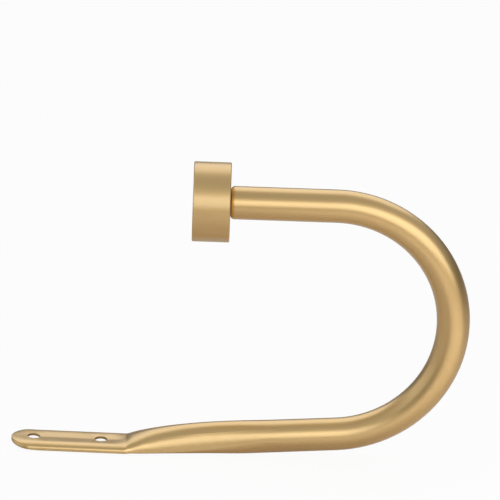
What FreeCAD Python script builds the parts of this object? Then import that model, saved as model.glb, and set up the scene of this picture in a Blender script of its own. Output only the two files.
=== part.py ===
"""Curtain holdback: a U-bent tube with a pressed, pierced wall tab and a turned end finial.

Millimetres. X runs along the wall from the tab towards the bend, Y across the tab, and Z away from the wall.
The shapes are drawn from the wall plane, and moved at the end so that the origin lies in the tab's sheet.
"""
import FreeCAD, Part
import math
import os

from FreeCAD import Vector

# Tube
tube_diameter = 16.0
tube_wall = 0.6
arm_tilt = 4.68
arm_length = 37.6
bend_radius = 58.65
bend_angle = 175.82
free_arm_length = 51.2
nose_radius = 2.0
lip_width = 0.9

# Wall tab, pressed from both walls of the tube
tab_width = 21.9
tab_crown = 3.95
tab_reach = 27.3
tab_rim = 0.5
rim_flat = 0.2
dish_depth = 0.85
dish_width = 17.0
dish_runout = 5.0
hole_pitch = 32.8
hole_diameter = 6.2

# Rounded tip of the tab
tip_length = 9.0
tip_drop = 0.8
tip_rise = 1.6
tip_rise_length = 16.0

# Neck, where the tab grows into the round tube
neck_start = 28.3
neck_length = 65.3
crease_reach = 1.3
neck_runout = 8.0
recess_ramp = 2.0
tab_squareness = 3.0
rise_sharpness = 0.66
rise_easing = 1.48
narrowing_power = 0.73
crown_power = 0.34
foot_power = 0.28
waist_power = 2.1

# Finial and its fixing
finial_diameter = 38.4
finial_length = 18.0
finial_chamfer = 0.4
finial_bore_depth = 9.0
insert_length = 10.0
insert_chamfer = 1.6
stud_diameter = 6.0
stud_length = 18.0
stud_chamfer = 0.6
thread_clearance = 0.05
insert_clearance = 0.05

# Sampling of the pressed shapes
section_angles = (-90, -45, 0, 45, 90, 135, 180, 225, 270)
slope_step = 0.01
neck_sections = 7
neck_crowding = 2.0
last_section_share = 0.9
tip_sections = 4
tip_sweep = 84.0
cut_margin = 1.0
joining_tolerance = 0.001

# Derived values
tube_radius = tube_diameter / 2
bore_radius = tube_radius - tube_wall
tab_sheet = 2 * tube_wall
dish_share = dish_width / tab_width
origin_height = tab_crown - dish_depth - tab_sheet / 2
thread_radius = stud_diameter / 2 + thread_clearance
tip_start = tip_length - tab_reach
rise_start = tip_rise_length - tab_reach
neck_end = neck_start + neck_length
dish_end = neck_start - dish_runout
crease_share = crease_reach / neck_length
tilt = math.radians(arm_tilt)
turn = math.radians(bend_angle)
across = Vector(0, 1, 0)
arm_direction = Vector(math.cos(tilt), 0, math.sin(tilt))
arm_normal = Vector(-math.sin(tilt), 0, math.cos(tilt))
arm_start = Vector(neck_end, 0, tube_radius)
neck_exit = arm_start + arm_direction * neck_runout
bend_entry = arm_start + arm_direction * arm_length
bend_centre = bend_entry + arm_normal * bend_radius
bend_exit = bend_centre + (arm_direction * math.sin(turn) - arm_normal * math.cos(turn)) * bend_radius
free_direction = arm_direction * math.cos(turn) + arm_normal * math.sin(turn)
free_side = across.cross(free_direction)
free_end = bend_exit + free_direction * free_arm_length


def section(x, half_width, low, waist, high, top_square, low_square, dish, floor):
    """Closed section across X, as the four poles of each of its Bezier edges.

    Two half superellipses meet at the waist. The upper one is dished, the lower one has a flat foot.
    """
    def point(angle, is_top):
        side = math.cos(math.radians(angle))
        rise = math.sin(math.radians(angle))
        square = top_square if is_top else low_square
        depth = high - waist if is_top else waist - low
        reach = (abs(side) ** square + abs(rise) ** square) ** (-1 / square)
        y = half_width * side * reach
        z = waist + depth * rise * reach
        off_centre = abs(y) / (half_width * dish_share)
        if is_top and off_centre < 1:
            z -= dish * math.cos(math.pi / 2 * off_centre) ** 2
        return Vector(x, y, max(z, floor))

    edges = []
    for start, end in zip(section_angles[:-1], section_angles[1:]):
        is_top = 0 <= start < 180
        handle = 4 / 3 * math.tan(math.radians(end - start) / 4) / math.radians(slope_step)
        first = point(start, is_top)
        last = point(end, is_top)
        leaving = (point(start + slope_step, is_top) - first) * handle
        arriving = (last - point(end - slope_step, is_top)) * handle
        edges.append([first, first + leaving, last - arriving, last])
    return edges


def tab_section(x, inset=0.0, below=0.0):
    """Section of the tab at x, drawn in by an inset and carried below the wall by a depth."""
    into_tip = max(0.0, tip_start - x) / (tip_length - inset)
    into_rise = max(0.0, rise_start - x) / tip_rise_length
    half_width = (tab_width / 2 - inset) * math.sqrt(1 - into_tip ** 2)
    rim = tip_rise * into_rise ** 2 - rim_flat
    high = tab_crown - tip_drop * into_tip ** 2 - inset
    into_runout = max(0.0, x - dish_end) / dish_runout
    dish = dish_depth * (1 - into_rise) * (1 - into_runout ** 2)
    square = tab_squareness
    return section(x, half_width, rim - below, rim + tab_rim, high, square, square, dish, -below)


def turned_section(edges, centre, angle):
    """Section tipped up about a line across the tab."""
    turning = FreeCAD.Rotation(-across, angle)
    return [[centre + turning.multVec(pole - centre) for pole in poles] for poles in edges]


def neck_section(along, inset=0.0):
    """Section of the neck, from the tab at 0 to the round tube at 1."""
    past_crease = math.hypot(along, crease_share) - crease_share
    grown = 1 - (1 - past_crease ** rise_sharpness) ** rise_easing
    half_width = tube_radius + (tab_width / 2 - tube_radius) * (1 - grown ** narrowing_power) - inset
    low = inset - rim_flat * (1 - along)
    high = tab_crown + (tube_diameter - tab_crown) * grown - inset
    waist = low + tab_rim + (tube_radius - low - tab_rim) * along ** waist_power
    top_square = 2 + (tab_squareness - 2) * (1 - grown ** crown_power)
    low_square = 2 + (tab_squareness - 2) * (1 - along) ** foot_power
    x = neck_start + neck_length * along
    edges = section(x, half_width, low, waist, high, top_square, low_square, 0.0, inset)
    return turned_section(edges, Vector(x, 0, waist), arm_tilt * along)


def round_section(inset=0.0):
    """Round section where the neck runs out into the arm."""
    radius = tube_radius - inset
    low = neck_exit.z - radius
    high = neck_exit.z + radius
    edges = section(neck_exit.x, radius, low, neck_exit.z, high, 2, 2, 0.0, 0.0)
    return turned_section(edges, neck_exit, arm_tilt)


def section_wire(edges):
    wire_edges = []
    for poles in edges:
        curve = Part.BezierCurve()
        curve.setPoles(poles)
        wire_edges.append(curve.toShape())
    return Part.Wire(wire_edges)


def skin_faces(sections, stations, **slopes):
    """Smooth faces through sections, one for each edge. Neighbouring faces share their border exactly."""
    faces = []
    for edge in range(len(section_angles) - 1):
        rows = []
        for pole in range(4):
            line = Part.BSplineCurve()
            points = [edges[edge][pole] for edges in sections]
            line.interpolate(Points=points, Parameters=stations, Scale=False, **slopes)
            rows.append(line.getPoles())
        surface = Part.BSplineSurface()
        surface.buildFromPolesMultsKnots(rows, [4, 4], line.getMultiplicities(), [0.0, 1.0], line.getKnots(),
                                         False, False, 3, line.Degree)
        faces.append(surface.toShape())
    return faces


def sewn_solid(faces):
    skin = Part.makeCompound(faces)
    skin.sewShape()
    solid = Part.Solid(skin.Shells[0])
    if solid.Volume < 0:
        solid.reverse()
    return solid


def tab_faces(inset=0.0, below=0.0):
    """Skin of the tab: its straight part, the rising rim, the rounded tip and the tip's small end."""
    runout_places = [neck_start, (neck_start + dish_end) / 2, dish_end]
    straight_places = [dish_end, rise_start]
    rise_places = [rise_start, (rise_start + tip_start) / 2, tip_start]
    angles = [math.radians(tip_sweep * step / tip_sections) for step in range(tip_sections + 1)]
    tip_places = [tip_start - (tip_length - inset) * math.sin(angle) for angle in angles]
    faces = []
    for places in (runout_places, straight_places, rise_places, tip_places):
        sections = [tab_section(x, inset, below) for x in places]
        stations = [step / (len(places) - 1) for step in range(len(places))]
        faces += skin_faces(sections, stations)
    return faces + [Part.Face(section_wire(sections[-1]))]


def neck_faces(first, inset):
    """Skin of the neck, from a place along it to the round tube."""
    steps = [step / neck_sections for step in range(neck_sections + 1)]
    alongs = [first + (last_section_share - first) * step ** neck_crowding for step in steps]
    sections = [neck_section(along, inset) for along in alongs] + [round_section(inset)]
    exit_along = 1 + neck_runout / neck_length
    start_slope = Vector(neck_length, 0, 0)
    end_slope = arm_direction * neck_length
    return skin_faces(sections, alongs + [exit_along], InitialTangent=start_slope, FinalTangent=end_slope)


def round_wire(centre, direction, radius):
    """Circle across a direction in the XZ plane, with its seam on the outer side of the bend."""
    placing = FreeCAD.Rotation(across.cross(direction), across, direction, "ZXY")
    circle = Part.Circle(Vector(0, 0, 0), Vector(0, 0, 1), radius).toShape()
    circle.Placement = FreeCAD.Placement(centre, placing)
    return Part.Wire(circle)


def ring_face(outer_wire, inner_wire):
    return Part.Face(outer_wire).cut(Part.Face(inner_wire)).Faces


def arm_faces(radius):
    """Skin of the straight arm and the bend."""
    straight = round_wire(neck_exit, arm_direction, radius).extrude(bend_entry - neck_exit)
    bend = round_wire(bend_entry, arm_direction, radius).revolve(bend_centre, -across, bend_angle)
    return straight.Faces + bend.Faces


def free_point(along, radius):
    """Point beside the axis of the free arm, measured from the face where the finial sits."""
    return free_end + free_direction * along + free_side * radius


def free_line(start, end):
    return Part.makeLine(free_point(*start), free_point(*end))


def free_arc(centre, radius):
    """Quarter turn of a profile, from the side of the free arm to its end."""
    middle = radius * math.sqrt(0.5)
    start = free_point(centre[0], centre[1] + radius)
    through = free_point(centre[0] + middle, centre[1] + middle)
    end = free_point(centre[0] + radius, centre[1])
    return Part.Arc(start, through, end).toShape()


def free_arm_faces():
    """Skin of the free arm inside and out, with its rounded nose and turned-in lip."""
    nose_centre = (-nose_radius, tube_radius - nose_radius)
    lip_radius = nose_centre[1] - lip_width
    edges = [free_line((-free_arm_length, tube_radius), (-nose_radius, tube_radius))]
    edges.append(free_arc(nose_centre, nose_radius))
    edges.append(free_line((0, nose_centre[1]), (0, lip_radius)))
    edges.append(free_line((0, lip_radius), (-tube_wall, lip_radius)))
    edges.append(free_line((-tube_wall, lip_radius), (-tube_wall, nose_centre[1])))
    edges.append(free_arc(nose_centre, nose_radius - tube_wall))
    edges.append(free_line((-nose_radius, bore_radius), (-free_arm_length, bore_radius)))
    faces = []
    for edge in edges:
        faces += edge.revolve(free_end, free_direction, 360).Faces
    return faces


def turned(profile):
    """Solid turned about the axis of the free arm from (along, radius) corners."""
    corners = [free_point(*corner) for corner in profile]
    face = Part.Face(Part.makePolygon(corners + corners[:1]))
    return face.revolve(free_end, free_direction, 360)


def recess_solid():
    """Open recess behind the tab, ending in a ramp where the two walls part at the neck."""
    ramp_end = neck_start + recess_ramp
    half_width = tab_width / 2 - tab_sheet
    waist = tab_rim - rim_flat
    high = waist + tab_rim
    low = -rim_flat - cut_margin
    square = tab_squareness
    end = section(ramp_end, half_width, low, waist, high, square, square, 0.0, -cut_margin)
    ramp = skin_faces([tab_section(neck_start, tab_sheet, cut_margin), end], [0.0, 1.0])
    return sewn_solid(tab_faces(tab_sheet, cut_margin) + ramp + [Part.Face(section_wire(end))])


def screw_hole(x):
    return Part.makeCylinder(hole_diameter / 2, tab_crown + 2 * cut_margin, Vector(x, 0, -cut_margin))


def pressed_end():
    """Tab and neck, hollow from where the two walls part, with the recess and the screw holes."""
    hollow_start = (recess_ramp + tab_sheet) / neck_length
    faces = tab_faces() + neck_faces(0.0, 0.0) + neck_faces(hollow_start, tube_wall)
    faces += ring_face(section_wire(round_section()), section_wire(round_section(tube_wall)))
    faces.append(Part.Face(section_wire(neck_section(hollow_start, tube_wall))))
    holes = [screw_hole(-hole_pitch / 2), screw_hole(hole_pitch / 2)]
    return sewn_solid(faces).cut([recess_solid()] + holes)


def bent_tube():
    outer = round_wire(neck_exit, arm_direction, tube_radius)
    inner = round_wire(neck_exit, arm_direction, bore_radius)
    faces = arm_faces(tube_radius) + free_arm_faces() + arm_faces(bore_radius) + ring_face(outer, inner)
    return pressed_end().fuse([sewn_solid(faces)], joining_tolerance)


def tube_insert():
    """Threaded plug behind the turned-in lip."""
    front = -tube_wall
    back = front - insert_length
    radius = bore_radius - insert_clearance
    shoulder = (front - insert_chamfer, radius)
    return turned([(back, thread_radius), (back, radius), shoulder, (front, radius - insert_chamfer),
                   (front, thread_radius)])


def finial_stud():
    """Headless screw that reaches the bottom of the finial's hole."""
    radius = stud_diameter / 2
    front = finial_bore_depth
    back = front - stud_length
    end_radius = radius - stud_chamfer
    return turned([(back, 0), (back, end_radius), (back + stud_chamfer, radius),
                   (front - stud_chamfer, radius), (front, end_radius), (front, 0)])


def end_finial():
    """Turned disc with a blind threaded hole, seated on the tube's end."""
    radius = finial_diameter / 2
    rim_radius = radius - finial_chamfer
    far_edge = finial_length - finial_chamfer
    return turned([(0, thread_radius), (0, rim_radius), (finial_chamfer, radius), (far_edge, radius),
                   (finial_length, rim_radius), (finial_length, 0), (finial_bore_depth, 0),
                   (finial_bore_depth, thread_radius)])


os.makedirs("parts", exist_ok=True)
nodes = {
    "bent_tube": bent_tube(),
    "tube_insert": tube_insert(),
    "finial_stud": finial_stud(),
    "end_finial": end_finial(),
}
for name, shape in nodes.items():
    shape.translate(Vector(0, 0, -origin_height))
    shape.exportStep(f"parts/{name}.step")
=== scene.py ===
"""Curtain holdback in satin gold, in a white studio. Metres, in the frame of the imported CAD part."""
import math

import bpy
from mathutils import Matrix, Vector


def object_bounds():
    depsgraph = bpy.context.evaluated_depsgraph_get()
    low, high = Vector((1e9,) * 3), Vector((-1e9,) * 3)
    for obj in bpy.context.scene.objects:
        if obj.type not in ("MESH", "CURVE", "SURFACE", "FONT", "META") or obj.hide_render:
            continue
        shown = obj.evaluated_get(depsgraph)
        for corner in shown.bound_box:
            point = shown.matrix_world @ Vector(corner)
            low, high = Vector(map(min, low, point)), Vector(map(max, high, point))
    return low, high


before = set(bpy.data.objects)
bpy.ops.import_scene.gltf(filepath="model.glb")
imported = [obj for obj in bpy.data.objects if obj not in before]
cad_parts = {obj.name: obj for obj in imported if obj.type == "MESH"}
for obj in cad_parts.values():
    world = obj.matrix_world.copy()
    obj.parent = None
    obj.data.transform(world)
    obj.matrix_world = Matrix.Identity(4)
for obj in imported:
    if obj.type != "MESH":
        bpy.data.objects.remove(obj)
cad_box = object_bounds()

# Camera, at the photograph's viewing angle in degrees. The aim is measured in the picture's own directions.
view_azimuth = -0.709
view_elevation = 18.993
view_roll = 2.678
view_distance = 2.0
view_lens = 294.37
sensor_width = 36.0
clip_end = 50.0
aim_start = Vector((0.0, 0.0, -0.0025))
aim_right = 0.08946
aim_up = 0.09469

# Finishes
tube_gold = (0.76, 0.505, 0.182)
tube_gold_pale = (0.80, 0.54, 0.208)
finial_gold = (0.75, 0.50, 0.185)
finial_gold_pale = (0.79, 0.54, 0.21)
steel_dark = (0.42, 0.42, 0.43)
steel_pale = (0.56, 0.56, 0.57)
grain_detail = 3.0
grain_height = 0.0001
lacquer_roughness = 0.25
lacquer_ior = 1.8
sharp_angle = 32.0

# Floor. In the metal its colour is a painted pool of light that fades to a darker colour away from the pool
# centre, and the camera sees a paler one.
floor_half_width = 4.0
floor_drop = 0.0003
# Painted pool of light: the floor colour at the pool centre and the darker colour far from it, as the metal
# sees them.
painted_pool_colour = (0.95, 0.87, 0.80, 1.0)
painted_pool_colour_far = (0.43, 0.36, 0.305, 1.0)
floor_colour_to_camera = (0.95, 0.95, 0.95, 1.0)
painted_pool_fade = 0.5
floor_gloss = 0.9
floor_roughness = 0.25
pool_centre = Vector((0.29, -0.18, 0.0))
pool_reach = 0.22
pool_light = 6.5
pool_lamp_height = 0.6
pool_lamp_radius = 0.05

# Room. The two shares say how much plain white the camera and the metal see in place of the lit studio.
plain_white = (1.0, 1.0, 1.0, 1.0)
white_to_camera = 0.94
white_to_metal = 0.1
ceiling_glow = 0.39
ceiling_height = 0.6
studio_centre = Vector((0.09, 0.0, 0.07))
lamp_distance = 1.0


def add_object(name, data):
    """New object in the scene that holds a camera, a lamp or a mesh."""
    added = bpy.data.objects.new(name, data)
    bpy.context.scene.collection.objects.link(added)
    return added


def direction_at(azimuth, elevation):
    """Unit vector towards a place in the studio. Azimuth 0 is in front of the object, on the -Y side."""
    a = math.radians(azimuth)
    e = math.radians(elevation)
    return Vector((math.sin(a) * math.cos(e), -math.cos(a) * math.cos(e), math.sin(e)))


def add_camera():
    """Camera that sees the object as the photograph does."""
    back = direction_at(view_azimuth, view_elevation)
    level = Vector((0, 0, 1)).cross(back).normalized()
    upright = back.cross(level)
    roll = math.radians(view_roll)
    right = level * math.cos(roll) + upright * math.sin(roll)
    up = upright * math.cos(roll) - level * math.sin(roll)
    place = aim_start + right * aim_right + up * aim_up + back * view_distance
    turn = Matrix((right, up, back)).transposed().to_4x4()
    camera = add_object("camera", bpy.data.cameras.new("camera"))
    camera.data.lens = view_lens
    camera.data.sensor_width = sensor_width
    camera.data.clip_end = clip_end
    camera.matrix_world = Matrix.Translation(place) @ turn
    bpy.context.scene.camera = camera


def add_softbox(name, azimuth, elevation, width, height, brightness):
    """Rectangular lamp that faces the object. At a brightness of 1 its face is as bright as white paper."""
    lamp = bpy.data.lights.new(name, "AREA")
    lamp.shape = "RECTANGLE"
    lamp.size = width
    lamp.size_y = height
    lamp.energy = brightness * math.pi * width * height
    softbox = add_object(name, lamp)
    back = direction_at(azimuth, elevation)
    softbox.location = studio_centre + back * lamp_distance
    softbox.rotation_mode = "QUATERNION"
    softbox.rotation_quaternion = back.to_track_quat("Z", "Y")
    softbox.visible_camera = False


def add_pool_light():
    """Soft spot that brightens the floor in front of the bend. The lamp itself isn't seen in the metal."""
    lamp = bpy.data.lights.new("pool_light", "SPOT")
    lamp.energy = pool_light
    lamp.spot_size = 2 * math.atan(pool_reach / pool_lamp_height)
    lamp.spot_blend = 1.0
    lamp.shadow_soft_size = pool_lamp_radius
    spot = add_object("pool_light", lamp)
    spot.location = pool_centre + Vector((0, 0, pool_lamp_height))
    spot.visible_camera = False
    spot.visible_glossy = False


def new_material(name):
    """Material with an empty node tree."""
    material = bpy.data.materials.new(name)
    material.use_nodes = True
    nodes = material.node_tree.nodes
    nodes.clear()
    return material, nodes, material.node_tree.links


def white_share(nodes, links):
    """Share of plain white that a ray meets: most for the camera, some for metal and glass."""
    rays = nodes.new("ShaderNodeLightPath")
    mirrored = nodes.new("ShaderNodeMath")
    mirrored.operation = "ADD"
    dimmed = nodes.new("ShaderNodeMath")
    dimmed.operation = "MULTIPLY"
    dimmed.inputs[1].default_value = white_to_metal
    share = nodes.new("ShaderNodeMath")
    share.operation = "MULTIPLY_ADD"
    share.inputs[1].default_value = white_to_camera
    links.new(rays.outputs["Is Glossy Ray"], mirrored.inputs[0])
    links.new(rays.outputs["Is Transmission Ray"], mirrored.inputs[1])
    links.new(mirrored.outputs[0], dimmed.inputs[0])
    links.new(rays.outputs["Is Camera Ray"], share.inputs[0])
    links.new(dimmed.outputs[0], share.inputs[2])
    return share.outputs[0]


def floor_tint_with_painted_pool(nodes, links, level):
    """Colour of the floor: a painted pool of light, brightest at the pool centre and darker away from it,
    and pale to the camera.
    """
    place = nodes.new("ShaderNodeTexCoord")
    centre = nodes.new("ShaderNodeMapping")
    centre.vector_type = "TEXTURE"
    centre.inputs["Location"].default_value = (pool_centre.x, pool_centre.y, level)
    centre.inputs["Scale"].default_value = (painted_pool_fade, painted_pool_fade, painted_pool_fade)
    # Painted pool of light: the floor colour fades from bright at the pool centre to darker outwards.
    painted_pool = nodes.new("ShaderNodeTexGradient")
    painted_pool.gradient_type = "SPHERICAL"
    tint = nodes.new("ShaderNodeMix")
    tint.data_type = "RGBA"
    tint.inputs["A"].default_value = painted_pool_colour_far
    tint.inputs["B"].default_value = painted_pool_colour
    rays = nodes.new("ShaderNodeLightPath")
    seen = nodes.new("ShaderNodeMix")
    seen.data_type = "RGBA"
    seen.inputs["B"].default_value = floor_colour_to_camera
    links.new(place.outputs["Object"], centre.inputs["Vector"])
    links.new(centre.outputs["Vector"], painted_pool.inputs["Vector"])
    links.new(painted_pool.outputs["Fac"], tint.inputs["Factor"])
    links.new(rays.outputs["Is Camera Ray"], seen.inputs["Factor"])
    links.new(tint.outputs["Result"], seen.inputs["A"])
    return seen.outputs["Result"]


def floor_finish(level):
    """Satin floor that looks almost white to the camera and keeps the object's shadow."""
    material, nodes, links = new_material("floor_white")
    satin = nodes.new("ShaderNodeBsdfPrincipled")
    satin.inputs["Roughness"].default_value = floor_roughness
    satin.inputs["Specular IOR Level"].default_value = floor_gloss
    white = nodes.new("ShaderNodeEmission")
    white.inputs["Color"].default_value = plain_white
    mix = nodes.new("ShaderNodeMixShader")
    output = nodes.new("ShaderNodeOutputMaterial")
    links.new(floor_tint_with_painted_pool(nodes, links, level), satin.inputs["Base Color"])
    links.new(white_share(nodes, links), mix.inputs["Fac"])
    links.new(satin.outputs[0], mix.inputs[1])
    links.new(white.outputs[0], mix.inputs[2])
    links.new(mix.outputs[0], output.inputs["Surface"])
    return material


def add_floor():
    """Floor just under the object, whose colour holds a painted pool of light."""
    w = floor_half_width
    level = cad_box[0].z - floor_drop
    mesh = bpy.data.meshes.new("floor")
    corners = [(-w, -w, level), (w, -w, level), (w, w, level), (-w, w, level)]
    mesh.from_pydata(corners, [], [(0, 1, 2, 3)])
    mesh.materials.append(floor_finish(level))
    floor = add_object("floor", mesh)


def set_world():
    """Dim room, dark at the horizon and glowing at the ceiling, that looks almost white to the camera."""
    world = bpy.data.worlds.new("studio")
    world.use_nodes = True
    nodes = world.node_tree.nodes
    links = world.node_tree.links
    nodes.clear()
    place = nodes.new("ShaderNodeTexCoord")
    height = nodes.new("ShaderNodeSeparateXYZ")
    glow = nodes.new("ShaderNodeMapRange")
    glow.interpolation_type = "SMOOTHSTEP"
    glow.inputs["From Max"].default_value = ceiling_height
    glow.inputs["To Max"].default_value = ceiling_glow
    dim = nodes.new("ShaderNodeBackground")
    dim.inputs["Color"].default_value = plain_white
    white = nodes.new("ShaderNodeBackground")
    white.inputs["Color"].default_value = plain_white
    mix = nodes.new("ShaderNodeMixShader")
    output = nodes.new("ShaderNodeOutputWorld")
    links.new(place.outputs["Generated"], height.inputs["Vector"])
    links.new(height.outputs["Z"], glow.inputs["Value"])
    links.new(glow.outputs["Result"], dim.inputs["Strength"])
    links.new(white_share(nodes, links), mix.inputs["Fac"])
    links.new(dim.outputs[0], mix.inputs[1])
    links.new(white.outputs[0], mix.inputs[2])
    links.new(mix.outputs[0], output.inputs["Surface"])
    bpy.context.scene.world = world


def metal(name, dark, pale, grain, roughness, relief, coat):
    """Satin metal. The grain scales set how the fine texture is stretched along X, Y and Z."""
    material, nodes, links = new_material(name)
    place = nodes.new("ShaderNodeTexCoord")
    stretch = nodes.new("ShaderNodeMapping")
    stretch.inputs["Scale"].default_value = grain
    noise = nodes.new("ShaderNodeTexNoise")
    noise.inputs["Scale"].default_value = 1.0
    noise.inputs["Detail"].default_value = grain_detail
    tint = nodes.new("ShaderNodeMix")
    tint.data_type = "RGBA"
    tint.inputs["A"].default_value = (*dark, 1.0)
    tint.inputs["B"].default_value = (*pale, 1.0)
    gloss = nodes.new("ShaderNodeMapRange")
    gloss.inputs["To Min"].default_value = roughness[0]
    gloss.inputs["To Max"].default_value = roughness[1]
    bump = nodes.new("ShaderNodeBump")
    bump.inputs["Strength"].default_value = relief
    bump.inputs["Distance"].default_value = grain_height
    shader = nodes.new("ShaderNodeBsdfPrincipled")
    shader.inputs["Metallic"].default_value = 1.0
    shader.inputs["Coat Weight"].default_value = coat
    shader.inputs["Coat Roughness"].default_value = lacquer_roughness
    shader.inputs["Coat IOR"].default_value = lacquer_ior
    output = nodes.new("ShaderNodeOutputMaterial")
    links.new(place.outputs["Object"], stretch.inputs["Vector"])
    links.new(stretch.outputs["Vector"], noise.inputs["Vector"])
    links.new(noise.outputs["Fac"], tint.inputs["Factor"])
    links.new(noise.outputs["Fac"], gloss.inputs["Value"])
    links.new(noise.outputs["Fac"], bump.inputs["Height"])
    links.new(tint.outputs["Result"], shader.inputs["Base Color"])
    links.new(gloss.outputs["Result"], shader.inputs["Roughness"])
    links.new(bump.outputs["Normal"], shader.inputs["Normal"])
    links.new(shader.outputs["BSDF"], output.inputs["Surface"])
    return material


def dress(node, material):
    """Gives a CAD node its finish and smooth shading up to its sharp edges."""
    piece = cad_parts[node]
    piece.data.materials.clear()
    piece.data.materials.append(material)
    piece.data.shade_smooth()
    piece.data.set_sharp_from_angle(angle=math.radians(sharp_angle))


# The tube's grain is even, and the finial's runs around it like the marks of a lathe.
tube_finish = metal("tube_gold", tube_gold, tube_gold_pale,
                    grain=(3000, 3000, 3000), roughness=(0.34, 0.40), relief=0.02, coat=1.0)
finial_finish = metal("finial_gold", finial_gold, finial_gold_pale,
                      grain=(2500, 60, 60), roughness=(0.40, 0.48), relief=0.15, coat=1.0)
steel_finish = metal("plain_steel", steel_dark, steel_pale,
                     grain=(1500, 1500, 1500), roughness=(0.35, 0.45), relief=0.1, coat=0.0)
dress("bent_tube", tube_finish)
dress("end_finial", finial_finish)
dress("tube_insert", steel_finish)
dress("finial_stud", steel_finish)

add_floor()
set_world()
add_softbox("front_softbox", azimuth=28, elevation=22, width=1.6, height=0.70, brightness=1.38)
add_softbox("side_reflector", azimuth=-80, elevation=14, width=1.5, height=0.60, brightness=0.45)
add_softbox("back_softbox", azimuth=180, elevation=47, width=1.5, height=0.92, brightness=0.70)
add_pool_light()
add_camera()

bpy.context.scene.view_settings.view_transform = "Standard"
